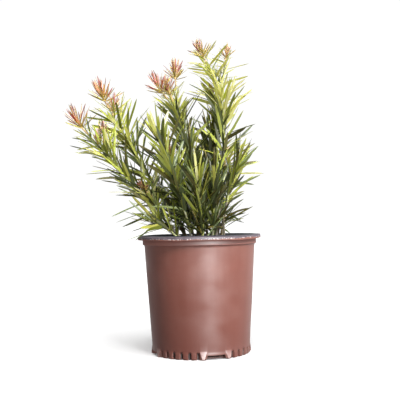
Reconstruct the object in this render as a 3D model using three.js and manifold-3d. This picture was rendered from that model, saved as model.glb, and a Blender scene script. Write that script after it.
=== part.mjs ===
// A podocarpus in a nursery pot: a clump of leafy stems that rises from bark mix in a brown plastic pot.
// Millimetres, +Z up. The origin is the middle of the pot's flat underside, and -Y is the plant's front.
import * as THREE from 'three';
import { mergeVertices } from 'three/addons/utils/BufferGeometryUtils.js';
import Module from 'manifold-3d';

const wasm = await Module();
wasm.setup();

const UP = new THREE.Vector3(0, 0, 1);
// Clearance between neighbours, and how far a cutter runs past the face that it cuts.
const GAP = 0.3;
const PAST = 2;
const SEED = 20279;

// Pot: a tapered shell with a flat lip, a collar under it, a fluted foot and four drain notches, each with an
// ear-shaped web at either side.
const POT = {
  height: 216,
  lipRadius: 113,
  lipThickness: 6.2,
  lipRound: 1,
  collarRadius: 104.5,
  collarHeight: 11.4,
  collarRound: 1,
  grooveDepth: 2.6,
  grooveHeight: 3,
  bodyRadius: 101.2,
  footRadius: 89,
  edgeRound: 1.6,
  wall: 2.2,
  floor: 3,
  footWall: 9,
  footHeight: 15,
  sides: 56,
};
const FLUTE = { perNotch: 6, first: 21, width: 7.6, height: 15, proud: 0.6 };
const EAR = { bearing: 15, topWidth: 15, footWidth: 4.5, height: 16.5, rise: 3.2, sunk: 1 };
const NOTCH = { count: 4, bearing: -72.8, topWidth: 32, footWidth: 41, height: 8, depth: 13 };

// Bark mix: it fills the pot to a little below the lip.
const MIX = { level: 196 };

// Leaves stand round each twig in a spiral. Their size and spread depend on how far below the tip they are,
// and the spread of the old ones varies more.
const LEAF = {
  spacing: 1.6,
  keepEvery: 3.6,
  turn: 137.5,
  length: 63,
  width: 9,
  widestAt: 0.38,
  keel: 1.7,
  sunk: 0.8,
  fullSizeAt: 95,
  fullSpreadAt: 120,
  spread: 37,
  droopFrom: 180,
  droopPerMm: 0.2,
  droopMost: 34,
  lift: 0.16,
  sagPerMm: 0.0011,
  sagMost: 0.36,
  curl: 0.08,
  vary: { turn: 40, spread: 18, length: 0.26, sag: 0.16, curl: 0.22, roll: 75 },
  unruly: 1,
  unrulyFrom: 60,
  unrulyTo: 200,
};

// A growing twig ends in an upright tuft of young leaves, and a resting one in a sheaf of full-grown leaves.
const GROWING = { spread: 64, size: 0.48 };
const RESTING = { spread: 13, size: 0.86 };
const TUFT = {
  count: 7,
  height: 17,
  rise: 1.1,
  length: [31, 24],
  width: 5,
  spread: [64, 10],
  curl: -0.2,
  vary: { turn: 28, spread: 10, length: 0.2, curl: 0.16, roll: 60 },
};

// Radius of a twig at its start and end: the main one of a mass, one that forks, and a branch.
const TWIG = { main: [2.9, 1.6], forked: [3, 2.2], branch: [2.1, 1.5], sides: 3, step: 30 };
const STEM = { sides: 7, step: 12, flare: 1.5, flareHeight: 14, taper: 0.25 };

// Stems. Each keeps to one bearing (degrees anticlockwise from +X, seen from above), and its lean from
// upright changes evenly from foot to tip. It is bare at first and leafy above; old makes its leaves that
// much older, leaf and tuft scale its leaves and its tuft, open spreads its leaves that much wider, and
// branches leave it at a share of its length.
// A branch grows unless it says otherwise, and a stem that forks has no tuft of its own.
const STEMS = [
  {
    name: 'left_low', foot: [-22, -10], bearing: -170, lean: [40.5, 41.5], length: 302, bare: 56, radius: 3.6,
    end: 'growing', tuft: 1.25,
    branches: [
      { at: 0.27, bearing: -149, lean: [16, 56], length: 62, old: 40, leaf: 0.85, tuft: 0.45 },
      { at: 0.75, bearing: -150, lean: [2, 6], length: 48, tuft: 0.5 },
      { at: 0.81, bearing: -120, lean: [4, 8], length: 18, tuft: 0.5 },
    ],
  },
  {
    name: 'left_high', foot: [-14, 6], bearing: 179, lean: [32, 28], length: 330, bare: 46, radius: 3.8,
    end: 'growing', open: 8, tuft: 1.25,
    branches: [{ at: 0.86, bearing: -60, lean: [8, 24], length: 22, tuft: 0.8 }],
  },
  {
    name: 'middle', foot: [-2, 4], bearing: 179, lean: [-1, 18], length: 254, bare: 28, radius: 4,
    end: 'forked', old: 50,
    branches: [
      { at: 0.98, bearing: -150, lean: [30, 48], length: 62, tuft: 1.15 },
      { at: 0.92, bearing: 120, lean: [11, 4], length: 98, leaf: 0.62, tuft: 0.95 },
      { at: 0.97, bearing: -140, lean: [16, 34], length: 56, tuft: 0.85 },
    ],
  },
  {
    name: 'right', foot: [30, 2], bearing: 9, lean: [10.4, -3.6], length: 288, bare: 84, radius: 4.2,
    end: 'forked', old: 45, leaf: 1.14, open: 10,
    branches: [
      { at: 0.985, bearing: -159, lean: [24, 34], length: 90, old: 40, leaf: 0.85, open: 16, tuft: 0.9 },
      { at: 0.97, bearing: 30, lean: [5, 13], length: 86, old: 30, leaf: 0.8, open: 30, tuft: 0.65 },
      { at: 0.88, bearing: -175, lean: [36, 26], length: 44, old: 60, leaf: 0.95, tuft: 0.4 },
    ],
  },
  {
    name: 'front_left', foot: [-10, -16], bearing: -142, lean: [16, 26], length: 214, bare: 18, radius: 3.4,
    end: 'resting', leaf: 1.1, open: 8,
  },
  {
    name: 'centre', foot: [8, -6], bearing: -146, lean: [7, 10], length: 186, bare: 16, radius: 3.2,
    end: 'resting',
  },
  {
    name: 'right_inner', foot: [14, 9], bearing: 14, lean: [2, 7], length: 226, bare: 28, radius: 3.2,
    end: 'resting',
  },
  {
    name: 'right_side', foot: [39, -5], bearing: -27, lean: [7, 22], length: 160, bare: 80, radius: 3.2,
    end: 'resting',
  },
  {
    name: 'front_right', foot: [24, -20], bearing: -74, lean: [8, 18], length: 126, bare: 12, radius: 3,
    end: 'resting', old: 30,
  },
  {
    name: 'front_middle', foot: [7, -24], bearing: -104, lean: [6, 26], length: 122, bare: 12, radius: 2.8,
    end: 'resting', old: 40,
  },
  {
    name: 'back_left', foot: [-8, 18], bearing: 118, lean: [20, 38], length: 214, bare: 24, radius: 3.4,
    end: 'growing', tuft: 0.7,
  },
  {
    name: 'back_right', foot: [22, 18], bearing: 64, lean: [16, 36], length: 196, bare: 24, radius: 3.4,
    end: 'growing', tuft: 0.7,
  },
  {
    name: 'back_middle', foot: [6, 24], bearing: 96, lean: [8, 24], length: 150, bare: 20, radius: 3,
    end: 'resting',
  },
  {
    name: 'base_left', foot: [-29, -21], bearing: -150, lean: [34, 74], length: 78, bare: 14, radius: 2.4,
    end: 'resting', old: 100,
  },
  {
    name: 'base_right', foot: [46, -16], bearing: -96, lean: [2, 34], length: 58, bare: 22, radius: 2.4,
    end: 'resting', old: 260, open: 26,
  },
  {
    name: 'base_back_left', foot: [-21, 19], bearing: 122, lean: [20, 62], length: 98, bare: 26, radius: 2.4,
    end: 'resting', old: 150,
  },
  {
    name: 'base_back_right', foot: [35, 15], bearing: 82, lean: [20, 62], length: 98, bare: 26, radius: 2.4,
    end: 'resting', old: 150,
  },
];

const LOOK = {
  pot: { color: 0x8a5a50, roughness: 0.45, metalness: 0 },
  mix: { color: 0x3a2b22, roughness: 1, metalness: 0 },
  stem: { color: 0x5b4a30, roughness: 0.9, metalness: 0 },
  foliage: { color: 0x76893a, roughness: 0.55, metalness: 0 },
};

const radians = THREE.MathUtils.degToRad;

// A repeatable run of numbers from 0 to 1.
function dice(seed) {
  let state = seed | 0;
  return () => {
    state = (state + 0x6d2b79f5) | 0;
    let mixed = Math.imul(state ^ (state >>> 15), 1 | state);
    mixed = (mixed + Math.imul(mixed ^ (mixed >>> 7), 61 | mixed)) ^ mixed;
    return ((mixed ^ (mixed >>> 14)) >>> 0) / 4294967296;
  };
}

function solidOf(geometry) {
  const bare = geometry.clone();
  bare.deleteAttribute('normal');
  bare.deleteAttribute('uv');
  const merged = mergeVertices(bare, 1e-4);
  const vertProperties = new Float32Array(merged.attributes.position.array);
  const triVerts = new Uint32Array(merged.index.array);
  return new wasm.Manifold(new wasm.Mesh({ numProp: 3, vertProperties, triVerts }));
}

function geometryOf(solid) {
  const mesh = solid.getMesh();
  const geometry = new THREE.BufferGeometry();
  geometry.setAttribute('position', new THREE.BufferAttribute(new Float32Array(mesh.vertProperties), 3));
  geometry.setIndex(new THREE.BufferAttribute(new Uint32Array(mesh.triVerts), 1));
  geometry.computeVertexNormals();
  return geometry;
}

function meshOf(name, geometry, look) {
  const mesh = new THREE.Mesh(geometry, new THREE.MeshStandardMaterial(look));
  mesh.name = name;
  return mesh;
}

// A profile of [radius, height] points turned about the Z axis.
function turned(profile) {
  const points = profile.map(([radius, height]) => new THREE.Vector2(radius, height));
  return new THREE.LatheGeometry(points, POT.sides).rotateX(Math.PI / 2);
}

const LIP_FOOT = POT.height - POT.lipThickness;
const COLLAR_FOOT = LIP_FOOT - POT.collarHeight;
const GROOVE_FOOT = COLLAR_FOOT - POT.grooveHeight;

// Inside of the tapered body at a given height.
function insideRadius(height) {
  const share = (height - POT.edgeRound) / (GROOVE_FOOT - POT.edgeRound);
  return THREE.MathUtils.lerp(POT.footRadius, POT.bodyRadius, share) - POT.wall;
}

// The wall is thin throughout: it steps out at the collar, and only thickens at the foot.
function potShell() {
  const { height, lipRadius, lipRound, collarRadius, collarRound, footRadius, edgeRound } = POT;
  return solidOf(turned([
    [0, 0],
    [footRadius - edgeRound, 0],
    [footRadius, edgeRound],
    [POT.bodyRadius, GROOVE_FOOT],
    [collarRadius - POT.grooveDepth, COLLAR_FOOT],
    [collarRadius, COLLAR_FOOT + collarRound],
    [collarRadius, LIP_FOOT],
    [lipRadius - lipRound, LIP_FOOT],
    [lipRadius, LIP_FOOT + lipRound],
    [lipRadius, height - lipRound],
    [lipRadius - lipRound, height],
    [collarRadius - POT.wall, height],
    [collarRadius - POT.wall, COLLAR_FOOT + POT.wall],
    [insideRadius(GROOVE_FOOT), GROOVE_FOOT],
    [insideRadius(POT.footHeight), POT.footHeight],
    [footRadius - POT.footWall, POT.floor],
    [0, POT.floor],
  ]));
}

// One flute between two lobes of the foot: a groove that dies out upwards.
function fluteCutter(bearing) {
  const { width, height, proud } = FLUTE;
  const cutter = new THREE.ConeGeometry(width / 2, height + PAST, 4).rotateX(Math.PI / 2);
  cutter.translate(POT.footRadius + proud, 0, (height - PAST) / 2);
  return solidOf(cutter.rotateZ(radians(bearing)));
}

// One drain notch: an opening through the foot, wider at the floor than at its top.
function notchCutter(bearing) {
  const { topWidth, footWidth, height, depth } = NOTCH;
  const outline = new THREE.Shape([
    new THREE.Vector2(-footWidth / 2, -PAST),
    new THREE.Vector2(footWidth / 2, -PAST),
    new THREE.Vector2(topWidth / 2, height),
    new THREE.Vector2(-topWidth / 2, height),
  ]);
  const cutter = new THREE.ExtrudeGeometry(outline, { depth: depth + PAST, bevelEnabled: false });
  cutter.rotateX(Math.PI / 2).rotateZ(Math.PI / 2).translate(POT.footRadius - depth, 0, 0);
  return solidOf(cutter.rotateZ(radians(bearing)));
}

// One web beside a notch: wide at its top, where it dies into the wall, and standing out at the floor.
function earWeb(bearing) {
  const { topWidth, footWidth, height, rise, sunk } = EAR;
  const outline = new THREE.Shape([
    new THREE.Vector2(-footWidth / 2, 0),
    new THREE.Vector2(footWidth / 2, 0),
    new THREE.Vector2(topWidth / 2, height),
    new THREE.Vector2(-topWidth / 2, height),
  ]);
  const web = new THREE.ExtrudeGeometry(outline, { depth: 1, bevelEnabled: false });
  web.rotateX(Math.PI / 2).rotateZ(Math.PI / 2);
  const position = web.attributes.position;
  for (let index = 0; index < position.count; index += 1) {
    const outer = position.getX(index) > 0.5;
    const proud = outer ? rise * (1 - position.getZ(index) / height) : -sunk;
    position.setX(index, POT.footRadius + proud);
  }
  return solidOf(web.rotateZ(radians(bearing)));
}

function pot() {
  const pitch = 360 / NOTCH.count;
  const step = (pitch - 2 * FLUTE.first) / (FLUTE.perNotch - 1);
  let shell = potShell();
  for (let notch = 0; notch < NOTCH.count; notch += 1) {
    const middle = NOTCH.bearing + notch * pitch;
    shell = shell.add(earWeb(middle - EAR.bearing)).add(earWeb(middle + EAR.bearing));
    shell = shell.subtract(notchCutter(middle));
    for (let flute = 0; flute < FLUTE.perNotch; flute += 1) {
      shell = shell.subtract(fluteCutter(middle + FLUTE.first + flute * step));
    }
  }
  return shell;
}

// The mix fills the pot a little clear of its wall, with a level top that the stems are cut flat on.
function barkMix() {
  const floor = POT.floor + GAP;
  return turned([
    [0, floor],
    [POT.footRadius - POT.footWall - GAP, floor],
    [insideRadius(POT.footHeight) - GAP, POT.footHeight],
    [insideRadius(MIX.level) - GAP, MIX.level],
    [0, MIX.level],
  ]);
}

// A limb's course: a circular arc in an upright plane.
class Course extends THREE.Curve {
  constructor(foot, bearing, lean, length) {
    super();
    this.foot = foot;
    this.outward = new THREE.Vector3(Math.cos(radians(bearing)), Math.sin(radians(bearing)), 0);
    this.across = new THREE.Vector3(-this.outward.y, this.outward.x, 0);
    this.lean = lean.map(radians);
    this.length = length;
  }

  leanAt(share) {
    return THREE.MathUtils.lerp(this.lean[0], this.lean[1], share);
  }

  getTangent(share, target = new THREE.Vector3()) {
    const lean = this.leanAt(share);
    return target.copy(this.outward).multiplyScalar(Math.sin(lean)).addScaledVector(UP, Math.cos(lean));
  }

  getPoint(share, target = new THREE.Vector3()) {
    const half = (this.leanAt(share) - this.lean[0]) / 2;
    const chord = this.length * share * (Math.abs(half) < 1e-6 ? 1 : Math.sin(half) / half);
    const lean = this.lean[0] + half;
    target.copy(this.foot).addScaledVector(this.outward, chord * Math.sin(lean));
    return target.addScaledVector(UP, chord * Math.cos(lean));
  }
}

// A tapering rod of a few flat sides along one stretch of a course.
function rod(course, from, to, radiusAt, sides, step, flatFoot = false) {
  const steps = Math.max(1, Math.round((course.length * (to - from)) / step));
  const geometry = new THREE.CylinderGeometry(1, 1, 1, sides, steps);
  const position = geometry.attributes.position;
  const local = new THREE.Vector3();
  for (let index = 0; index < position.count; index += 1) {
    local.fromBufferAttribute(position, index);
    const share = THREE.MathUtils.lerp(from, to, local.y + 0.5);
    const level = flatFoot && local.y < -0.499;
    const tangent = level ? UP : course.getTangent(share);
    const third = new THREE.Vector3().crossVectors(course.across, tangent);
    const radius = radiusAt(share);
    const point = course.getPoint(share);
    point.addScaledVector(course.across, local.x * radius).addScaledVector(third, local.z * radius);
    position.setXYZ(index, point.x, point.y, point.z);
  }
  return geometry;
}

// A leaf: a keeled blade that widens from its root and narrows to its tip.
function blade(leaf, margin = 0) {
  const outline = [new THREE.Vector2(0, 0), new THREE.Vector2(1, LEAF.widestAt), new THREE.Vector2(0, 1)];
  const geometry = new THREE.LatheGeometry(outline, 3);
  const position = geometry.attributes.position;
  const root = leaf.root.clone().addScaledVector(leaf.along, -LEAF.sunk);
  const bend = root.clone().addScaledVector(leaf.along, leaf.length * LEAF.widestAt);
  const tip = bend.clone().addScaledVector(leaf.beyond, leaf.length * (1 - LEAF.widestAt) + margin);
  const point = new THREE.Vector3();
  for (let index = 0; index < position.count; index += 1) {
    const share = position.getY(index);
    const sideways = position.getX(index) / Math.sin(Math.PI / 3);
    const downwards = (position.getZ(index) + 0.5) / 1.5;
    if (share === 0) point.copy(root);
    else if (share === 1) point.copy(tip);
    else {
      point.copy(bend).addScaledVector(leaf.across, sideways * (leaf.width / 2 + margin));
      point.addScaledVector(leaf.facing, margin - downwards * (LEAF.keel + 2 * margin));
    }
    position.setXYZ(index, point.x, point.y, point.z);
  }
  return geometry;
}

// Where a leaf stands: its root on the twig's axis, the way it points, and the way its upper face looks.
// Rise turns it as if the twig stood more upright there.
function placeLeaf(course, share, habit, rise = 0) {
  const turn = radians(habit.turn);
  const spread = radians(habit.spread);
  const tangent = course.getTangent(share).addScaledVector(UP, rise).normalize();
  const third = new THREE.Vector3().crossVectors(course.across, tangent);
  const away = course.across.clone().multiplyScalar(Math.cos(turn)).addScaledVector(third, Math.sin(turn));
  const along = tangent.clone().multiplyScalar(Math.cos(spread)).addScaledVector(away, Math.sin(spread));
  along.addScaledVector(UP, habit.lift).normalize();
  const beyond = along.clone().addScaledVector(UP, -habit.sag).addScaledVector(away, habit.curl).normalize();
  const facing = tangent.clone().addScaledVector(along, -tangent.dot(along)).normalize();
  facing.applyAxisAngle(along, radians(habit.roll));
  const across = new THREE.Vector3().crossVectors(facing, along);
  const { length, width } = habit;
  return { root: course.getPoint(share), along, beyond, facing, across, length, width };
}

// Leaves of one twig, from its oldest to its youngest, with the tuft at its tip if it is growing.
function leavesOf(twig) {
  const { course, from, old, end, seed } = twig;
  const { smoothstep, lerp } = THREE.MathUtils;
  const throwDice = dice(seed);
  const vary = (amount) => (throwDice() * 2 - 1) * amount;
  const tip = end === 'resting' ? RESTING : GROWING;
  const crowded = end === 'growing' ? TUFT.height : 0;
  const leafy = course.length * (1 - from);
  const count = Math.floor((leafy - crowded) / LEAF.spacing);
  const leaves = [];
  for (let index = 0; index < count; index += 1) {
    const along = (index + 0.5) * LEAF.spacing;
    const below = leafy - along + old;
    const size = twig.leaf * lerp(tip.size, 1, smoothstep(below, 0, LEAF.fullSizeAt));
    const opened = lerp(tip.spread, LEAF.spread, smoothstep(below, 0, LEAF.fullSpreadAt));
    const droop = Math.min(LEAF.droopMost, Math.max(0, below - LEAF.droopFrom) * LEAF.droopPerMm);
    const unruly = LEAF.unruly * smoothstep(below, LEAF.unrulyFrom, LEAF.unrulyTo);
    const habit = {
      turn: index * LEAF.turn + vary(LEAF.vary.turn),
      spread: opened + droop + twig.open + vary(LEAF.vary.spread * (1 + unruly)),
      length: LEAF.length * size * (1 + vary(LEAF.vary.length)),
      width: LEAF.width * size,
      lift: LEAF.lift,
      sag: Math.min(LEAF.sagMost, LEAF.sagPerMm * below) + vary(LEAF.vary.sag),
      curl: LEAF.curl + vary(LEAF.vary.curl),
      roll: vary(LEAF.vary.roll),
    };
    const leaf = placeLeaf(course, from + along / course.length, habit);
    if (index % LEAF.keepEvery < 1) leaves.push(leaf);
  }
  for (let index = 0; index < TUFT.count && crowded > 0; index += 1) {
    const place = (index + 0.5) / TUFT.count;
    const habit = {
      turn: index * LEAF.turn + vary(TUFT.vary.turn),
      spread: lerp(TUFT.spread[0], TUFT.spread[1], place) + vary(TUFT.vary.spread),
      length: twig.tuft * lerp(TUFT.length[0], TUFT.length[1], place) * (1 + vary(TUFT.vary.length)),
      width: TUFT.width,
      lift: 0,
      sag: 0,
      curl: TUFT.curl + vary(TUFT.vary.curl),
      roll: vary(TUFT.vary.roll),
    };
    leaves.push(placeLeaf(course, 1 - (crowded * (1 - place)) / course.length, habit, TUFT.rise));
  }
  return leaves;
}

// One stem: its bare limb, and the twigs of the mass of foliage that the limb carries.
function growStem(spec, order) {
  const foot = new THREE.Vector3(spec.foot[0], spec.foot[1], MIX.level + GAP);
  const course = new Course(foot, spec.bearing, spec.lean, spec.length);
  const bare = spec.bare / spec.length;
  const stemRadius = (share) => {
    const flare = Math.max(0, 1 - (share * spec.length) / STEM.flareHeight);
    return spec.radius * (1 - STEM.taper * (share / bare)) * (1 + (STEM.flare - 1) * flare * flare);
  };
  const limb = solidOf(rod(course, 0, bare, stemRadius, STEM.sides, STEM.step, true));
  const seed = SEED + 100 * order;
  const from = bare + GAP / spec.length;
  const radii = spec.end === 'forked' ? TWIG.forked : TWIG.main;
  const habitOf = ({ old = 0, leaf = 1, open = 0, tuft = 1, end = 'growing' }) => (
    { old, leaf, open, tuft, end }
  );
  const twigs = [{ course, from, radii, seed, ...habitOf(spec) }];
  (spec.branches ?? []).forEach((branch, index) => {
    const start = course.getPoint(branch.at);
    const side = new Course(start, branch.bearing, branch.lean, branch.length);
    twigs.push({ course: side, from: 0, radii: TWIG.branch, seed: seed + index + 1, ...habitOf(branch) });
  });
  return { name: spec.name, limb, twigs };
}

function twigSolid(twig) {
  const thin = (share) => THREE.MathUtils.lerp(twig.radii[0], twig.radii[1], share);
  return solidOf(rod(twig.course, twig.from, 1, thin, TWIG.sides, TWIG.step));
}

function boxOf(solid) {
  const { min, max } = solid.boundingBox();
  return new THREE.Box3(new THREE.Vector3(...min), new THREE.Vector3(...max));
}

function touches(solid, box, other) {
  if (!box.intersectsBox(other.box)) return false;
  const shared = solid.intersect(other.solid);
  const empty = shared.isEmpty();
  shared.delete();
  return !empty;
}

// Fuse a mass into one body, and keep only that body.
function fused(solids) {
  const bodies = wasm.Manifold.union(solids).decompose();
  return bodies.reduce((largest, body) => (body.volume() > largest.volume() ? body : largest));
}

const shell = pot();
const plants = STEMS.map(growStem);
const standing = [{ solid: shell, owner: null }, { solid: solidOf(barkMix()), owner: null }];
for (const plant of plants) {
  standing.push({ solid: plant.limb, owner: null });
  plant.solids = plant.twigs.map(twigSolid);
  plant.solids.forEach((solid) => standing.push({ solid, owner: plant }));
  plant.leaves = plant.twigs.flatMap(leavesOf);
}
standing.forEach((thing) => {
  thing.box = boxOf(thing.solid);
});

// Leaves take their places in turn, one from each mass. One that would touch something else is skipped.
const most = Math.max(...plants.map((plant) => plant.leaves.length));
for (let turn = 0; turn < most; turn += 1) {
  for (const plant of plants.filter((one) => turn < one.leaves.length)) {
    const leaf = plant.leaves[turn];
    const reach = solidOf(blade(leaf, GAP));
    const box = boxOf(reach);
    if (standing.some((thing) => thing.owner !== plant && touches(reach, box, thing))) continue;
    const solid = solidOf(blade(leaf));
    plant.solids.push(solid);
    standing.push({ solid, owner: plant, box });
  }
}

const group = new THREE.Group();
group.add(meshOf('pot', geometryOf(shell), LOOK.pot));
group.add(meshOf('bark_mix', barkMix(), LOOK.mix));
for (const plant of plants) {
  group.add(meshOf(`stem_${plant.name}`, geometryOf(plant.limb), LOOK.stem));
  group.add(meshOf(`foliage_${plant.name}`, geometryOf(fused(plant.solids)), LOOK.foliage));
}

export default group;
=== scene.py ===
import math

import bmesh
import bpy
import numpy as np
from mathutils import Matrix, Vector, noise


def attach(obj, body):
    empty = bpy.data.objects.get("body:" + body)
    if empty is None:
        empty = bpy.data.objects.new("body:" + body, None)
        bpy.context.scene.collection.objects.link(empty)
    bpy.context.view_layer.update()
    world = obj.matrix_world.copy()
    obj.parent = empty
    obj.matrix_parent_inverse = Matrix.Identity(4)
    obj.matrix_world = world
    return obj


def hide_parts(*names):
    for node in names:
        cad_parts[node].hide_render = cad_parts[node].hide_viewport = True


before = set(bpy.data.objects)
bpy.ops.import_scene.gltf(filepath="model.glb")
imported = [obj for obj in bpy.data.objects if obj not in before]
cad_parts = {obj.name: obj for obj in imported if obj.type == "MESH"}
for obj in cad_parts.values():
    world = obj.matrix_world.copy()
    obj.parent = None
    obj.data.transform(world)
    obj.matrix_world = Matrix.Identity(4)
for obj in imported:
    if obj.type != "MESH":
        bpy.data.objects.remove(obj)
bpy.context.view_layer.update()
scene = bpy.context.scene
up = Vector((0, 0, 1))
tiny = 1e-6


class Wire:  # a shader output that takes part in sums
    def __init__(self, board, socket):
        self.board = board
        self.socket = socket

    def sum(self, operation, first, second):
        return self.board.node("ShaderNodeMath", {"operation": operation}, {0: first, 1: second})

    def __add__(self, other):
        return self.sum("ADD", self, other)

    def __radd__(self, other):
        return self.sum("ADD", other, self)

    def __sub__(self, other):
        return self.sum("SUBTRACT", self, other)

    def __rsub__(self, other):
        return self.sum("SUBTRACT", other, self)

    def __mul__(self, other):
        return self.sum("MULTIPLY", self, other)

    def __rmul__(self, other):
        return self.sum("MULTIPLY", other, self)


class Board:  # the nodes of one material or of the world
    def __init__(self, tree):
        self.tree = tree

    def feed(self, socket, value):
        if isinstance(value, Wire):
            self.tree.links.new(value.socket, socket)
        else:
            socket.default_value = value

    def node(self, kind, settings=None, inputs=None, output=0):
        made = self.tree.nodes.new(kind)
        for key, value in (settings or {}).items():
            if key == "stops":
                self.setStops(made.color_ramp, value)
            else:
                setattr(made, key, value)
        for key, value in (inputs or {}).items():
            self.feed(made.inputs[key], value)
        return Wire(self, made.outputs[output])

    def setStops(self, ramp, stops):
        while len(ramp.elements) < len(stops):
            ramp.elements.new(1)
        for element, (place, value) in zip(ramp.elements, stops):
            element.position = place
            element.color = (value, value, value, 1)

    def place(self, stretch):  # object coordinates, stretched along an axis
        spot = self.node("ShaderNodeTexCoord", output="Object")
        return self.node("ShaderNodeMapping", {}, {"Vector": spot, "Scale": stretch})

    def axis(self, name):  # one of the object coordinates
        spot = self.node("ShaderNodeTexCoord", output="Object")
        return self.node("ShaderNodeSeparateXYZ", {}, {0: spot}, name)

    def noise(self, scale, detail, stretch=(1, 1, 1)):
        inputs = {"Vector": self.place(stretch), "Scale": scale, "Detail": detail}
        return self.node("ShaderNodeTexNoise", {}, inputs)

    def cells(self, scale):
        inputs = {"Vector": self.place((1, 1, 1)), "Scale": scale}
        return self.node("ShaderNodeTexVoronoi", {"feature": "F1"}, inputs)

    def ramp(self, value, *stops):
        return self.node("ShaderNodeValToRGB", {"stops": stops}, {"Fac": value})

    def blend(self, factor, first, second):
        inputs = {0: factor, 6: first, 7: second}
        return self.node("ShaderNodeMix", {"data_type": "RGBA"}, inputs, 2)

    def bump(self, height, strength, distance):
        inputs = {"Height": height, "Strength": strength, "Distance": distance}
        return self.node("ShaderNodeBump", {}, inputs)


def finish(name, build):  # a material whose shader sockets are what build gives
    material = bpy.data.materials.new(name)
    material.use_nodes = True
    board = Board(material.node_tree)
    shader = material.node_tree.nodes["Principled BSDF"]
    for socket, value in build(board).items():
        board.feed(shader.inputs[socket], value)
    return material


def paint(red, green, blue):  # a screen colour as the shader's own numbers
    return (*(linear(value / 255) for value in (red, green, blue)), 1)


def linear(value):
    return value / 12.92 if value <= 0.04045 else ((value + 0.055) / 1.055) ** 2.4


def mixPaint(first, second, share):
    return tuple(lerp(a, b, share) for a, b in zip(first, second))


def lerp(first, second, share):
    return first + (second - first) * share


def smoothStep(value, low, high):
    share = min(1, max(0, (value - low) / (high - low)))
    return share * share * (3 - 2 * share)


def addPiece(name, mesh, materials, nodes, sharpFrom):
    for material in materials:
        mesh.materials.append(material)
    mesh.set_sharp_from_angle(angle=math.radians(sharpFrom))
    piece = bpy.data.objects.new(name, mesh)
    scene.collection.objects.link(piece)
    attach(piece, "root")
    if nodes:
        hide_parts(*nodes)
    return piece


def spun(points, turns):  # a closed shell, from its outline turned about the pot's axis
    bm = bmesh.new()
    line = [bm.verts.new(point) for point in points]
    edges = [bm.edges.new(pair) for pair in zip(line, line[1:])]
    bmesh.ops.spin(
        bm, geom=line + edges, cent=(0, 0, 0), axis=(0, 0, 1), angle=math.tau, steps=turns, use_merge=True,
    )
    bmesh.ops.remove_doubles(bm, verts=bm.verts, dist=tiny)
    bmesh.ops.recalc_face_normals(bm, faces=bm.faces)
    return bm


def meshFrom(bm, name):
    for face in bm.faces:
        face.smooth = True
    mesh = bpy.data.meshes.new(name)
    bm.to_mesh(mesh)
    bm.free()
    return mesh


# Pot
pot = {
    "height": 0.216,
    "lipRadius": 0.113,
    "lipThickness": 0.0062,
    "lipRounds": (0.0011, 0.0014, 0.0012),  # below, above and inside
    "lipEdge": 0.004,  # how far in from its rim the lip is worn
    "collarRadius": 0.1045,
    "collarHeight": 0.0114,
    "collarRounds": (0.0009, 0.0012),
    "grooveHeight": 0.003,
    "grooveRadius": 0.1019,
    "grooveRound": 0.0006,
    "bodyRadius": 0.1012,
    "bodyRound": 0.0012,
    "footRadius": 0.089,
    "footRound": 0.0024,
    "footBends": ((0.016, 0.003), (0.08, 0.0155)),  # share of the taper, and height
    "edgeRound": 0.0016,
    "wall": 0.0022,
    "floor": 0.003,
    "floorRadius": 0.083,
    "footWall": 0.009,
    "footHeight": 0.015,
    "turns": 720,
    "arcSteps": 4,
    "sharpFrom": 35,
    "flat": 0.6,  # faces that look up more than this count as level
    "hub": 0.02,  # the middle of the floor, which isn't worn
    "wave": 0.0005,  # how far the lip strays from level
    "waves": ((3, 0.9, 1), (5, 2.4, 0.7)),  # count, phase and share of each
    "droop": 0.0024,  # how far the lip hangs at its front
    "droopBearing": -98,
    "dent": 0.0005,  # how far the wall strays from round
    "dents": ((2, 0.6, 1), (3, 2.1, 0.6)),
    "dentSpan": (0.03, 0.1),
}
flute = {
    "count": 6,
    "first": 21.0,
    "halfWidth": 1.55,
    "depth": 0.0062,
    "height": 0.0142,
    "fadeFrom": 0.62,
    "reach": 0.0045,  # how far into the foot's wall
    "crown": 0.0007,  # how far the lobes between them stand out
    "paintedShadeFrom": 0.5,  # share of the depth past which a flute is painted dark, as painted shade
}
ear = {  # a web at each side of a notch, wide at its top, that stands out at the floor
    "bearing": 15.0,
    "topWidth": 0.0150,
    "footWidth": 0.0045,
    "height": 0.0165,
    "rise": 0.0032,
    "edge": 0.0007,
    "paintedHighlightFrom": 0.6,
}
notch = {
    "count": 4,
    "bearing": -72.8,
    "topWidth": 0.032,
    "footWidth": 0.041,
    "height": 0.008,
    "depth": 0.013,
    "past": 0.004,
}
lipFoot = pot["height"] - pot["lipThickness"]
collarFoot = lipFoot - pot["collarHeight"]
grooveFoot = collarFoot - pot["grooveHeight"]


def wallInside(height):  # inside radius of the tapered body
    share = (height - pot["edgeRound"]) / (grooveFoot - pot["edgeRound"])
    return lerp(pot["footRadius"], pot["bodyRadius"], share) - pot["wall"]


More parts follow.
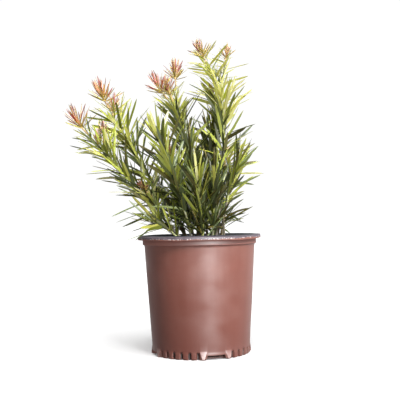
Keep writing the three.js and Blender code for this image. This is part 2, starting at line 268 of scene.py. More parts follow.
def potCorners():  # radius, height, rounding and cuts of the stretch that follows
    inner = pot["collarRadius"] - pot["wall"]
    taper = (pot["footRadius"], pot["bodyRadius"])
    bends = [(lerp(*taper, share), height) for share, height in pot["footBends"]]
    below, above, inside = pot["lipRounds"]
    return [
        (0, 0, 0, 6),
        (pot["footRadius"], 0, pot["footRound"], 3),
        (*bends[0], 0, 8),
        (*bends[1], 0, 14),
        (pot["bodyRadius"], grooveFoot, pot["bodyRound"], 1),
        (pot["grooveRadius"], collarFoot, pot["grooveRound"], 0),
        (pot["collarRadius"], collarFoot + pot["grooveRound"], pot["collarRounds"][0], 2),
        (pot["collarRadius"], lipFoot, pot["collarRounds"][1], 2),
        (pot["lipRadius"], lipFoot, below, 0),
        (pot["lipRadius"], pot["height"], above, 3),
        (inner, pot["height"], inside, 2),
        (inner, collarFoot + pot["wall"], 0, 1),
        (wallInside(grooveFoot), grooveFoot, 0, 4),
        (wallInside(pot["footHeight"]), pot["footHeight"], 0, 0),
        (pot["footRadius"] - pot["footWall"], pot["floor"], 0, 2),
        (0, pot["floor"], 0, 0),
    ]


def profileOf(corners, arcSteps):  # the outline's points, with arcs at its rounded corners
    spots = [Vector((radius, 0, height)) for radius, height, _, _ in corners]
    points = []
    for index, (_, _, rounding, cuts) in enumerate(corners):
        here = spots[index]
        if rounding:
            before = here + (spots[index - 1] - here).normalized() * rounding
            after = here + (spots[index + 1] - here).normalized() * rounding
            for step in range(arcSteps + 1):
                share = step / arcSteps
                points.append(before.lerp(here, share).lerp(here.lerp(after, share), share))
        else:
            points.append(here)
        if cuts:
            start = points[-1].copy()
            points.extend(start.lerp(spots[index + 1], cut / (cuts + 1)) for cut in range(1, cuts + 1))
    return points


def fluteDepth(angle, height):  # how deep the foot is sunk at this bearing, less where its lobes stand out
    pitch = 360 / notch["count"]
    fromNotch = (angle - notch["bearing"]) % pitch
    step = (pitch - 2 * flute["first"]) / (flute["count"] - 1)
    nearest = round((fromNotch - flute["first"]) / step)
    nearest = min(flute["count"] - 1, max(0, nearest))
    away = abs(fromNotch - flute["first"] - nearest * step)
    fade = 1 - smoothStep(height, flute["height"] * flute["fadeFrom"], flute["height"])
    sunk = flute["depth"] * math.exp(-((away / flute["halfWidth"]) ** 4))
    crown = flute["crown"] * math.sin(math.pi * min(away / step, 0.5))
    return (sunk - crown) * fade


def earShare(angle, height):  # 1 on the webs beside the notches, 0 elsewhere
    pitch = 360 / notch["count"]
    fromNotch = abs((angle - notch["bearing"] + pitch / 2) % pitch - pitch / 2)
    away = abs(math.radians(fromNotch - ear["bearing"])) * pot["footRadius"]
    half = lerp(ear["footWidth"], ear["topWidth"], height / ear["height"]) / 2
    inside = 1 - smoothStep(away, half - ear["edge"], half + ear["edge"])
    return inside if height < ear["height"] else 0


def ripple(turn, waves):
    return sum(share * math.sin(count * turn + phase) for count, phase, share in waves)


def wearPot(vert):  # flutes and webs at the foot, a lip that waves, and a wall that isn't quite round
    radius = math.hypot(vert.co.x, vert.co.y)
    if radius < pot["hub"]:
        return
    angle = math.degrees(math.atan2(vert.co.y, vert.co.x))
    turn = math.radians(angle)
    shift = 0
    if vert.co.z < ear["height"] and radius > pot["footRadius"] - flute["reach"]:
        share = earShare(angle, vert.co.z)
        shift -= fluteDepth(angle, vert.co.z) * (1 - share)
        shift += ear["rise"] * share * (1 - vert.co.z / ear["height"])
    shift += pot["dent"] * smoothStep(vert.co.z, *pot["dentSpan"]) * ripple(turn, pot["dents"])
    vert.co.x *= 1 + shift / radius
    vert.co.y *= 1 + shift / radius
    lipShare = smoothStep(radius, pot["collarRadius"], pot["lipRadius"])
    wave = ripple(turn, pot["waves"]) - 1
    front = 0.5 + 0.5 * math.cos(turn - math.radians(pot["droopBearing"]))
    vert.co.z += lipShare * (pot["wave"] * wave - pot["droop"] * front**2)


def notchCutter():  # the four drain notches, each wider at the floor than at its top
    bm = bmesh.new()
    for index in range(notch["count"]):
        made = bmesh.ops.create_cube(bm, size=1)["verts"]
        for vert in made:
            top = vert.co.z > 0
            width = notch["topWidth"] if top else notch["footWidth"]
            vert.co.y *= width
            vert.co.z = notch["height"] if top else -notch["past"]
            vert.co.x = pot["footRadius"] + (notch["past"] if vert.co.x > 0 else -notch["depth"])
        bearing = math.radians(notch["bearing"] + index * 360 / notch["count"])
        bmesh.ops.rotate(bm, verts=made, cent=(0, 0, 0), matrix=Matrix.Rotation(bearing, 3, "Z"))
    bmesh.ops.recalc_face_normals(bm, faces=bm.faces)
    cutter = bpy.data.objects.new("notchCutter", meshFrom(bm, "notchCutter"))
    scene.collection.objects.link(cutter)
    return cutter


def cutNotches(mesh):
    raw = bpy.data.objects.new("potRaw", mesh)
    scene.collection.objects.link(raw)
    cutter = notchCutter()
    cut = raw.modifiers.new("notches", "BOOLEAN")
    cut.operation = "DIFFERENCE"
    cut.solver = "EXACT"
    cut.object = cutter
    done = bpy.data.meshes.new_from_object(raw.evaluated_get(bpy.context.evaluated_depsgraph_get()))
    bpy.data.objects.remove(raw)
    bpy.data.objects.remove(cutter)
    return done


def potMesh():
    bm = spun(profileOf(potCorners(), pot["arcSteps"]), pot["turns"])
    for vert in bm.verts:
        wearPot(vert)
    for face in bm.faces:
        face.material_index = potPart(face)
    return cutNotches(meshFrom(bm, "pot"))


plasticPart, darkPart, edgePart, paintedHighlightPart, fluteShadePart = range(5)  # places in potFinishes


def potPart(face):  # which finish this face has
    middle = face.calc_center_median()
    radius = math.hypot(middle.x, middle.y)
    facesAxis = face.normal.x * middle.x + face.normal.y * middle.y < -tiny
    high = middle.z > collarFoot
    if high and radius > pot["lipRadius"] - pot["lipEdge"] and face.normal.z > -pot["flat"]:
        return edgePart
    level = face.normal.z > pot["flat"]
    onFloor = level and pot["floor"] / 2 < middle.z < pot["footHeight"] and radius < pot["floorRadius"]
    if (level and high) or onFloor or (facesAxis and middle.z > pot["floor"]):
        return darkPart
    angle = math.degrees(math.atan2(middle.y, middle.x))
    if facesAxis or middle.z > ear["height"]:
        return plasticPart
    # the webs beside the notches get a painted highlight
    if earShare(angle, middle.z) > ear["paintedHighlightFrom"]:
        return paintedHighlightPart
    # the deep parts of the flutes get painted shade
    sunk = fluteDepth(angle, middle.z) > flute["depth"] * flute["paintedShadeFrom"]
    return fluteShadePart if sunk else plasticPart


def potPlastic(board):
    height = board.axis("Z")
    mottle = board.ramp(board.noise(26, 5), (0.3, 0), (0.72, 1))
    rubbed = board.ramp(board.noise(16, 3, (1, 1, 1.8)), (0.36, 0), (0.66, 1))  # broad patches rubbed dull
    streak = board.ramp(board.noise(60, 3, (1, 1, 0.06)), (0.42, 0), (0.75, 1))
    speck = board.ramp(board.noise(420, 2), (0.66, 0), (0.74, 1))
    foot = board.ramp(height * 20, (0.02, 1), (0.45, 0))
    brown = board.blend(mottle * 0.55, paint(115, 67, 57), paint(127, 78, 67))
    brown = board.blend(streak * 0.2, brown, paint(140, 94, 84))
    # painted light: the collar band below the lip is painted lighter, against the lip's shadow on it; the
    # same band is also rougher
    collar = board.ramp(height * 4, (0.793, 0), (0.799, 1))
    brown = board.blend(collar * 0.55, brown, paint(158, 106, 96))
    dusty = (foot * 0.3 + speck * 0.12 + rubbed * 0.10) * (0.35 + mottle * 0.65)
    brown = board.blend(dusty, brown, paint(152, 128, 120))
    # painted shade: the wall is darker towards its foot, where less light reaches it
    brown = board.blend(board.ramp(height * 4, (0.1, 0.66), (0.62, 0)), brown, paint(92, 48, 39))
    grain = board.noise(1500, 2) + board.noise(240, 2) * 0.6
    return {
        "Base Color": brown,
        "Roughness": 0.29 + mottle * 0.06 + rubbed * 0.12 + speck * 0.12 + collar * 0.16,
        "Normal": board.bump(grain, 0.18, 0.00012),
        "Specular IOR Level": 0.24,
    }


def potEdge(board):  # the lip's worn edge, where the dark slate ends raggedly above the brown, with painted highlights as pale glints along the seam
    bearing = math.radians(pot["droopBearing"])
    forward = board.axis("X") * math.cos(bearing) + board.axis("Y") * math.sin(bearing)
    front = forward * (0.5 / pot["lipRadius"]) + 0.5
    level = (board.axis("Z") - lipFoot + front * front * pot["droop"]) * (1 / pot["lipThickness"])
    ragged = level + (board.noise(90, 4) - 0.5) * 0.8
    rubbed = board.ramp(board.noise(120, 4, (1, 1, 2.5)), (0.44, 0), (0.70, 1))
    seam = board.ramp(ragged, (0.20, 0), (0.34, 1)) * board.ramp(ragged, (0.46, 1), (0.66, 0))
    # painted highlight: pale glints along the seam
    paintedGlints = board.ramp(board.noise(330, 3), (0.52, 0), (0.62, 1)) * seam
    mauve = board.blend(rubbed * 0.6, paint(84, 74, 82), paint(116, 104, 111))
    layers = board.blend(board.ramp(ragged, (0.32, 1), (0.44, 0)), mauve, paint(126, 80, 70))
    return {
        "Base Color": board.blend(paintedGlints * 0.8, layers, paint(214, 202, 198)),
        "Roughness": 0.52 + rubbed * 0.2,
        "Normal": board.bump(rubbed + paintedGlints * 0.5, 0.3, 0.0003),
        "Specular IOR Level": 0.20,
    }


def potFluteShade(board):  # painted shade: the deepest parts of the flutes are painted dark brown for the shade in these recesses
    fineLumps = board.ramp(board.noise(300, 4), (0.35, 0), (0.7, 1))
    return {
        "Base Color": board.blend(fineLumps, paint(48, 25, 19), paint(72, 40, 31)),
        "Roughness": 0.7 + fineLumps * 0.2,
        "Normal": board.bump(fineLumps, 0.4, 0.0003),
    }


def potPaintedHighlight(board):  # painted highlight: the webs beside the notches are painted pale, palest at the floor
    cloud = board.ramp(board.noise(140, 4), (0.35, 0), (0.7, 1))
    pale = board.blend(cloud, paint(126, 92, 86), paint(168, 138, 132))
    upward = board.ramp(board.axis("Z") * 60, (0.30, 0), (0.90, 1))
    return {
        "Base Color": board.blend(upward, pale, paint(112, 66, 57)),
        "Roughness": 0.36 + cloud * 0.12,
        "Normal": board.bump(board.noise(700, 2), 0.2, 0.0002),
    }


def potDark(board):  # a dark slate finish on the lip's top and on the pot's inside
    dust = board.ramp(board.noise(190, 5), (0.45, 0), (0.75, 1))
    scuff = board.ramp(board.noise(90, 4, (1, 1, 3)), (0.5, 0), (0.8, 1))
    slate = board.blend(scuff * 0.6, paint(44, 45, 52), paint(74, 76, 86))
    return {
        "Base Color": board.blend(dust * 0.3, slate, paint(120, 112, 106)),
        "Roughness": 0.48 + dust * 0.25,
        "Normal": board.bump(board.noise(900, 2), 0.2, 0.00012),
        "Specular IOR Level": 0.18,
    }


potFinishes = [finish(build.__name__, build) for build in (potPlastic, potDark, potEdge, potPaintedHighlight, potFluteShade)]
potShell = addPiece("potShell", potMesh(), potFinishes, ["pot"], pot["sharpFrom"])
print("pot made")

# Bark mix
mix = {
    "level": 0.196,
    "clear": 0.0006,
    "sunk": 0.002,  # how far its rim lies below its level
    "rimRound": 0.001,
    "skin": 0.001,  # how far down the relief reaches
    "turns": 128,
    "arcSteps": 2,
    "rings": 34,
    "sharpFrom": 60,
    "relief": 0.0022,
    "reliefScale": 55,
    "fineLumps": 0.0009,
    "crumbScale": 210,
}
chip = {
    "count": 620,
    "seed": 4107,
    "length": (0.006, 0.019),
    "width": (0.4, 0.75),
    "thick": (0.18, 0.36),
    "jitter": 0.16,
    "blocky": 0.6,  # nearer a block than a ball
    "margin": 0.008,
    "raised": 0.25,
    "tilt": 24,
    "sharpFrom": 30,
    "tints": [(70, 48, 34), (92, 66, 46), (52, 38, 30), (112, 86, 62)],
    "grainTint": 0.72,  # how dark the grain is beside its tint
}
fullWord = 0xFFFFFFFF


def timesInWord(first, second):
    return (first * second) & fullWord


def dice(seed):  # a repeatable run of numbers from 0 to 1
    state = seed

    def throw():
        nonlocal state
        state = (state + 0x6D2B79F5) & fullWord
        mixed = timesInWord(state ^ (state >> 15), 1 | state)
        mixed = ((mixed + timesInWord(mixed ^ (mixed >> 7), 61 | mixed)) & fullWord) ^ mixed
        return (mixed ^ (mixed >> 14)) / (fullWord + 1)

    return throw


def mixLift(x, y):  # the mix's relief above its level
    hump = noise.noise(Vector((x, y, 0)) * mix["reliefScale"])
    fineLumps = noise.noise(Vector((x, y, 0.3)) * mix["crumbScale"])
    return mix["relief"] * hump + mix["fineLumps"] * fineLumps


def mixMesh():
    rim = wallInside(mix["level"]) - mix["clear"]
    low = pot["floor"] + mix["clear"]
    corners = [
        (0, low, 0, 4),
        (pot["footRadius"] - pot["footWall"] - mix["clear"], low, 0, 4),
        (wallInside(pot["footHeight"]) - mix["clear"], pot["footHeight"], 0, 8),
        (rim, mix["level"] - mix["sunk"], mix["rimRound"], mix["rings"]),
        (0, mix["level"], 0, 0),
    ]
    bm = spun(profileOf(corners, mix["arcSteps"]), mix["turns"])
    for vert in bm.verts:
        if vert.co.z > mix["level"] - mix["skin"]:
            vert.co.z += mixLift(vert.co.x, vert.co.y)
    return meshFrom(bm, "mix")


def mixCrumbs(board):
    crumbs = board.cells(170)
    fibres = board.noise(320, 5)
    dark = board.blend(board.ramp(crumbs, (0.1, 0), (0.7, 1)), paint(66, 48, 36), paint(34, 26, 22))
    pale = board.ramp(board.cells(95), (0.03, 1), (0.16, 0))
    return {
        "Base Color": board.blend(pale * 0.5, dark, paint(140, 124, 104)),
        "Roughness": 0.86 + fibres * 0.12,
        "Normal": board.bump(crumbs + fibres * 0.6, 0.9, 0.0012),
        "Specular IOR Level": 0.06,
    }


def chipBark(tint):
    def build(board):
        grain = board.noise(260, 4, (1, 1, 0.3))
        worn = board.ramp(grain, (0.35, 0), (0.7, 1))
        dark = paint(*(chip["grainTint"] * value for value in tint))
        return {
            "Base Color": board.blend(worn, dark, paint(*tint)),
            "Roughness": 0.8 + grain * 0.18,
            "Normal": board.bump(grain, 0.7, 0.0006),
            "Specular IOR Level": 0.06,
        }

    return build


def chipMesh():  # flakes of bark, each a squashed and jittered ball of a few faces
    pattern = bmesh.new()
    bmesh.ops.create_icosphere(pattern, subdivisions=1, radius=1)
    ball = np.array([vert.co for vert in pattern.verts])
    sides = np.array([[vert.index for vert in face.verts] for face in pattern.faces])
    pattern.free()
    throw = dice(chip["seed"])
    points, faces, tints = [], [], []
    reach = wallInside(mix["level"]) - chip["margin"]
    for index in range(chip["count"]):
        radius = reach * math.sqrt(throw())
        bearing = throw() * math.tau
        length = lerp(*chip["length"], throw() ** 2) / 2
        width = lerp(*chip["width"], throw())
        thick = lerp(*chip["thick"], throw())
        size = np.array([length, length * width, length * thick])
        shakes = np.array([throw() for _ in range(ball.size)]).reshape(-1, 3)
        shaken = ball + chip["jitter"] * (shakes - 0.5) * 2
        boxy = np.sign(shaken) * np.abs(shaken) ** chip["blocky"] * size
        tilt = Matrix.Rotation(math.radians(chip["tilt"]) * (throw() * 2 - 1), 3, "X")
        turn = Matrix.Rotation(throw() * math.tau, 3, "Z")
        x, y = radius * math.cos(bearing), radius * math.sin(bearing)
        centre = np.array([x, y, mix["level"] + mixLift(x, y) + size[2] * chip["raised"]])
        points.append(boxy @ np.array(turn @ tilt).T + centre)
        faces.append(sides + index * len(ball))
        tints.extend([int(throw() * len(chip["tints"]))] * len(sides))
    mesh = bpy.data.meshes.new("chips")
    mesh.from_pydata(np.vstack(points).tolist(), [], np.vstack(faces).tolist())
    mesh.polygons.foreach_set("material_index", tints)
    return mesh


mixFinish = finish("mixCrumbs", mixCrumbs)
addPiece("mixBed", mixMesh(), [mixFinish], ["bark_mix"], mix["sharpFrom"])
chipFinishes = [finish(f"chipBark{index}", chipBark(tint)) for index, tint in enumerate(chip["tints"])]
addPiece("mixChips", chipMesh(), chipFinishes, (), chip["sharpFrom"])
print("bark mix made")

# Stems: foot in metres, bearing and lean in degrees, as the solids have them
seeds = {"plant": 20279, "stem": 100, "detail": 50}  # the first, and the steps from it
gap = 0.0003
plainTwig = {  # what a stem or branch has unless it says otherwise
    "old": 0,  # age of its tip, as a length that has grown
    "leaf": 1,  # size of its leaves
    "open": 0,  # how many degrees wider they spread
    "paintedShadeAndAge": 0,  # how much older their colours are, partly their own tone and partly painted light and shade: darker for a stem in shadow, lighter for one in the sun
    "lost": 0,  # share of them that has been lost
    "tuft": None,  # colour and size of the new growth
}
stems = [
    {
        "name": "left_low", "foot": (-0.022, -0.010), "bearing": -170, "lean": (40.5, 41.5), "length": 0.302,
        "bare": 0.056, "radius": 0.0036, "end": "growing", "paintedShadeAndAge": 0.010, "tuft": ("rust", 1.25),
        "branches": [
            {
                "at": 0.27, "bearing": -149, "lean": (16, 56), "length": 0.062,
                "old": 0.040, "leaf": 0.85, "tuft": ("bronze", 0.45),
            },
            {"at": 0.75, "bearing": -150, "lean": (2, 6), "length": 0.048, "tuft": ("pink", 0.5)},
            {"at": 0.81, "bearing": -120, "lean": (4, 8), "length": 0.018, "tuft": ("pink", 0.5)},
        ],
    },
    {
        "name": "left_high", "foot": (-0.014, 0.006), "bearing": 179, "lean": (32, 28), "length": 0.330,
        "bare": 0.046, "radius": 0.0038, "end": "growing",
        "open": 8, "paintedShadeAndAge": -0.050, "tuft": ("orange", 1.25),
        "branches": [{"at": 0.86, "bearing": -60, "lean": (8, 24), "length": 0.022, "tuft": ("pink", 0.8)}],
    },
    {
        "name": "middle", "foot": (-0.002, 0.004), "bearing": 179, "lean": (-1, 18), "length": 0.254,
        "bare": 0.028, "radius": 0.0040, "end": "forked", "old": 0.050, "paintedShadeAndAge": 0.040,
        "branches": [
            {"at": 0.98, "bearing": -150, "lean": (30, 48), "length": 0.062, "tuft": ("pink", 1.15)},
            {
                "at": 0.92, "bearing": 120, "lean": (11, 4), "length": 0.098,
                "leaf": 0.62, "lost": 0.55, "tuft": ("coral", 0.95),
            },
            {"at": 0.97, "bearing": -140, "lean": (16, 34), "length": 0.056, "tuft": ("coral", 0.85)},
        ],
    },
    {
        "name": "right", "foot": (0.030, 0.002), "bearing": 9, "lean": (10.4, -3.6), "length": 0.288,
        "bare": 0.084, "radius": 0.0042, "end": "forked",
        "old": 0.045, "leaf": 1.14, "open": 10, "paintedShadeAndAge": -0.060,
        "branches": [
            {
                "at": 0.985, "bearing": -159, "lean": (24, 34), "length": 0.090,
                "old": 0.040, "leaf": 0.85, "open": 16, "lost": 0.4, "paintedShadeAndAge": -0.100, "tuft": ("faded", 0.9),
            },
            {
                "at": 0.97, "bearing": 30, "lean": (5, 13), "length": 0.086,
                "old": 0.030, "leaf": 0.8, "open": 30, "lost": 0.6, "paintedShadeAndAge": -0.140, "tuft": ("pale", 0.65),
            },
            {
                "at": 0.88, "bearing": -175, "lean": (36, 26), "length": 0.044,
                "old": 0.060, "leaf": 0.95, "tuft": ("bronze", 0.4),
            },
        ],
    },
    {
        "name": "front_left", "foot": (-0.010, -0.016), "bearing": -142, "lean": (16, 26), "length": 0.214,
        "bare": 0.018, "radius": 0.0034, "end": "resting", "leaf": 1.1, "open": 8, "paintedShadeAndAge": -0.020,
    },
    {
        "name": "centre", "foot": (0.008, -0.006), "bearing": -146, "lean": (7, 10), "length": 0.186,
        "bare": 0.016, "radius": 0.0032, "end": "resting", "paintedShadeAndAge": 0.080,
    },
    {
        "name": "right_inner", "foot": (0.014, 0.009), "bearing": 14, "lean": (2, 7), "length": 0.226,
        "bare": 0.028, "radius": 0.0032, "end": "resting", "paintedShadeAndAge": 0.090,
    },
    {
        "name": "right_side", "foot": (0.039, -0.005), "bearing": -27, "lean": (7, 22), "length": 0.160,
        "bare": 0.080, "radius": 0.0032, "end": "resting", "paintedShadeAndAge": -0.005,
    },
    {
        "name": "front_right", "foot": (0.024, -0.020), "bearing": -74, "lean": (8, 18), "length": 0.126,
        "bare": 0.012, "radius": 0.0030, "end": "resting", "old": 0.030, "paintedShadeAndAge": 0.060,
    },
    {
        "name": "front_middle", "foot": (0.007, -0.024), "bearing": -104, "lean": (6, 26), "length": 0.122,
        "bare": 0.012, "radius": 0.0028, "end": "resting", "old": 0.040, "paintedShadeAndAge": -0.030,
    },
    {
        "name": "back_left", "foot": (-0.008, 0.018), "bearing": 118, "lean": (20, 38), "length": 0.214,
        "bare": 0.024, "radius": 0.0034, "end": "growing", "tuft": ("coral", 0.7),
    },
    {
        "name": "back_right", "foot": (0.022, 0.018), "bearing": 64, "lean": (16, 36), "length": 0.196,
        "bare": 0.024, "radius": 0.0034, "end": "growing", "tuft": ("pink", 0.7),
    },
    {
        "name": "back_middle", "foot": (0.006, 0.024), "bearing": 96, "lean": (8, 24), "length": 0.150,
        "bare": 0.020, "radius": 0.0030, "end": "resting",
    },
    {
        "name": "base_left", "foot": (-0.029, -0.021), "bearing": -150, "lean": (34, 74), "length": 0.078,
        "bare": 0.014, "radius": 0.0024, "end": "resting", "old": 0.100, "paintedShadeAndAge": -0.020,
    },
    {
        "name": "base_right", "foot": (0.046, -0.016), "bearing": -96, "lean": (2, 34), "length": 0.058,
        "bare": 0.022, "radius": 0.0024, "end": "resting", "old": 0.260, "open": 26, "lost": 0.45,
    },
    {
        "name": "base_back_left", "foot": (-0.021, 0.019), "bearing": 122, "lean": (20, 62), "length": 0.098,
        "bare": 0.026, "radius": 0.0024, "end": "resting", "old": 0.150,
    },
    {
        "name": "base_back_right", "foot": (0.035, 0.015), "bearing": 82, "lean": (20, 62), "length": 0.098,
        "bare": 0.026, "radius": 0.0024, "end": "resting", "old": 0.150,
    },
]
limb = {
    "sides": 22,
    "ring": 0.0016,
    "sharpFrom": 60,
    "flare": 1.5,
    "flareHeight": 0.014,
    "taper": 0.25,
    "foot": 0.004,  # how far the foot runs down into the mix
    "furrow": 0.09,
    "furrows": 1.6,  # how close they stand round it
    "furrowsAlong": 90,
    "finer": 2.3,
    "apart": 7,  # so that no two stems have the same ones
    "scar": 0.10,
    "scarGap": 0.0034,
}
twigLook = {
    "main": (0.0027, 0.0013),
    "forked": (0.0028, 0.0019),
    "branch": (0.0018, 0.0012),
    "sides": 15,
    "ring": 0.0012,
    "sharpFrom": 50,
    "ridge": 0.08,
    "ridges": 5,
    "pinchFrom": 0.999,
    "pinch": 0.5,  # how slim the tip is
    "greenTo": 0.19,  # twigs older than this are brown
    "freshTo": 0.030,  # the stretch below a growing tip that is still bronze
    "tints": {  # of the skin, and of its ridges
        "twigBrown": ((92, 84, 46), (122, 108, 66)),
        "twigGreen": ((150, 156, 62), (178, 180, 92)),
        "twigFresh": ((196, 150, 76), (214, 180, 104)),
    },
}
brownPart, greenPart, freshPart = range(3)  # places in twigFinishes


class Course:  # a limb's way: a circular arc in an upright plane
    def __init__(self, foot, bearing, lean, length):
        angle = math.radians(bearing)
        self.foot = Vector(foot)
        self.outward = Vector((math.cos(angle), math.sin(angle), 0))
        self.across = Vector((-self.outward.y, self.outward.x, 0))
        self.lean = [math.radians(value) for value in lean]
        self.length = length

    def leanAt(self, share):
        return lerp(*self.lean, share)

    def tangent(self, share):
        lean = self.leanAt(share)
        return self.outward * math.sin(lean) + up * math.cos(lean)

    def point(self, share):
        half = (self.leanAt(share) - self.lean[0]) / 2
        chord = self.length * share * (1 if abs(half) < tiny else math.sin(half) / half)
        lean = self.lean[0] + half
        return self.foot + self.outward * (chord * math.sin(lean)) + up * (chord * math.cos(lean))


def twigsOf(order, spec):  # the stem's own leafy stretch, then its branches
    course = Course((*spec["foot"], mix["level"] + gap), spec["bearing"], spec["lean"], spec["length"])
    seed = seeds["plant"] + seeds["stem"] * order
    radii = twigLook["forked" if spec["end"] == "forked" else "main"]
    start = (spec["bare"] + gap) / spec["length"]
    found = [{**plainTwig, **spec, "course": course, "start": start, "radii": radii, "seed": seed}]
    for branch in spec.get("branches", []):
        side = Course(course.point(branch["at"]), branch["bearing"], branch["lean"], branch["length"])
        grown = {"course": side, "start": 0, "end": "growing", "radii": twigLook["branch"]}
        found.append({**plainTwig, **branch, **grown, "seed": seed + len(found)})
    return found


def wrapTube(bm, course, span, radiusAt, sides, ring):  # a tube with relief along a stretch of a course
    rings = max(2, round(course.length * (span[1] - span[0]) / ring))
    made = bmesh.ops.create_grid(bm, x_segments=sides, y_segments=rings, size=0.5)["verts"]
    for vert in made:
        turn = (vert.co.x + 0.5) * math.tau
        share = lerp(*span, vert.co.y + 0.5)
        tangent = course.tangent(share)
        third = course.across.cross(tangent)
        away = course.across * math.cos(turn) + third * math.sin(turn)
        vert.co = course.point(share) + away * radiusAt(share, turn)
    bmesh.ops.remove_doubles(bm, verts=made, dist=tiny)


def closeTubes(bm):
    rims = [edge for edge in bm.edges if edge.is_boundary]
    bmesh.ops.holes_fill(bm, edges=rims, sides=0)
    bmesh.ops.recalc_face_normals(bm, faces=bm.faces)


def limbMesh(order, spec):
    course = twigsOf(order, spec)[0]["course"]
    bare = spec["bare"] / spec["length"]

    def radiusAt(share, turn):
        along = share * spec["length"]
        spread = max(0, 1 - along / limb["flareHeight"])
        plain = spec["radius"] * (1 - limb["taper"] * max(0, share) / bare)
        plain *= 1 + (limb["flare"] - 1) * min(1, spread * spread)
        around = Vector((math.cos(turn), math.sin(turn), 0)) * limb["furrows"]
        spot = around + up * (along * limb["furrowsAlong"] + order * limb["apart"])
        furrow = noise.noise(spot) + 0.5 * noise.noise(spot * limb["finer"])
        scar = math.cos(along / limb["scarGap"] * math.tau + 2 * turn) * math.cos(3 * turn + order)
        return plain * (1 + limb["furrow"] * furrow + limb["scar"] * max(0, scar) ** 3)

    bm = bmesh.new()
    span = (-limb["foot"] / spec["length"], bare)
    wrapTube(bm, course, span, radiusAt, limb["sides"], limb["ring"])
    closeTubes(bm)
    return meshFrom(bm, "limb")


def twigMesh(twigs):  # leafy twigs, ridged by the feet of their leaves
    bm = bmesh.new()
    tint = bm.faces.layers.int.new("tint")
    for twig in twigs:
        course = twig["course"]

        def radiusAt(share, turn):
            plain = lerp(*twig["radii"], share)
            along = share * course.length / leafLook["spacing"]
            ridge = math.cos(twigLook["ridges"] * (turn - along * math.radians(leafLook["turn"])))
            pinch = 1 if share < twigLook["pinchFrom"] else twigLook["pinch"]
            return plain * (1 + twigLook["ridge"] * ridge) * pinch

        before = len(bm.faces)
        wrapTube(bm, course, (twig["start"], 1), radiusAt, twigLook["sides"], twigLook["ring"])
        bm.faces.ensure_lookup_table()
        for face in bm.faces[before:]:
            middle = face.calc_center_median() - course.foot
            below = course.length - middle.length
            face[tint] = greenPart if below + twig["old"] < twigLook["greenTo"] else brownPart
            if twig["end"] == "growing" and below < twigLook["freshTo"]:
                face[tint] = freshPart
    for face in bm.faces:
        face.material_index = face[tint]
    closeTubes(bm)
    return meshFrom(bm, "twigs")


def stemBark(board):
    ribs = board.noise(620, 4, (1, 1, 0.16))
    blotch = board.ramp(board.noise(130, 3), (0.38, 0), (0.66, 1))
    brown = board.blend(board.ramp(ribs, (0.3, 0), (0.7, 1)), paint(66, 50, 34), paint(124, 102, 66))
    return {
        "Base Color": board.blend(blotch * 0.5, brown, paint(104, 104, 60)),
        "Roughness": 0.72 + ribs * 0.2,
        "Normal": board.bump(ribs, 0.8, 0.0005),
    }


def twigSkin(tint, ridgeTint):
    def build(board):
        ridges = board.noise(520, 3, (1, 1, 0.2))
        raised = board.ramp(ridges, (0.35, 0), (0.65, 1))
        return {
            "Base Color": board.blend(raised, paint(*tint), paint(*ridgeTint)),
            "Roughness": 0.45 + ridges * 0.2,
            "Normal": board.bump(ridges, 0.4, 0.0003),
        }

    return build


# Leaves
leafLook = {
    "spacing": 0.0016,
    "turn": 137.5,
    "length": 0.063,
    "width": 0.0055,
    "fullSizeAt": 0.095,
    "fullSpreadAt": 0.120,
    "spread": 37,
    "droopFrom": 0.180,
    "droopPerMetre": 200,
    "droopMost": 34,
    "lift": 0.16,
    "sagPerMetre": 1.1,
    "sagMost": 0.36,
    "curl": 0.08,
    "vary": {"turn": 40, "spread": 18, "length": 0.26, "sag": 0.16, "curl": 0.22, "roll": 75},
    "unruly": 1.0,  # how much more the spread of the old leaves varies
    "unrulyFrom": 0.060,
    "unrulyTo": 0.200,
    "bendAt": 0.38,
    "twist": 28,
    "widthVary": 0.32,
    "slim": 0.74,  # how slim the old leaves are
    "slimFrom": 0.08,
    "slimTo": 0.20,
    "narrow": 0.56,  # how slim the newest are below a growing tip
    "missing": (0.05, 0.35),  # share of young and of old leaves that have been lost
    "losesFrom": 0.14,
    "losesTo": 0.30,
    "cuts": (0, 0.08, 0.22, 0.42, 0.62, 0.78, 0.89, 0.96, 1),
    "ribShare": 0.14,
    "ribRise": 0.00022,
    "keel": 0.00042,
    "camber": 0.20,
    "thinBelow": 0.0012,  # half widths less than this have a lower rib
    "sharpFrom": 50,
}
blade = {  # a leaf's outline
    "foot": 0.30,
    "footTo": 0.22,
    "narrowing": 0.16,
    "pointFrom": 0.74,
    "pointPower": 2.8,
    "tip": 0.012,
}
clear = {"wall": 0.004, "mix": 0.003, "lip": 0.003, "aboveLip": 0.0015, "probes": 8}  # kept free of leaves
growing = {"spread": 64, "size": 0.48, "sparseTo": 0.050}  # nearer the tip than this, only every second leaf
resting = {"spread": 13, "size": 0.86}
tuftLook = {
    "height": 0.017,  # the stretch below a growing tip that its tuft takes up
    "rise": 1.1,  # how far it turns upright, whatever the twig's lean
    "count": 46,
    "length": (0.031, 0.024),
    "width": 0.0027,
    "fixedWidth": 0.4,  # share of it that doesn't follow the tuft's size
    "spread": (68, 8),
    "curl": -0.20,
    "vary": {"turn": 28, "spread": 15, "length": 0.26, "curl": 0.22, "roll": 70},
    "cuts": (0, 0.12, 0.34, 0.58, 0.80, 0.93, 1),
    "mixed": 0.8,  # how far its tints stray from their order
    "footTo": 0.34,  # how far up its leaves are green
}
ageLook = {"paleTo": -0.012, "limeTo": 0.106, "midTo": 0.156, "vary": 0.130, "restingAge": 0.092}
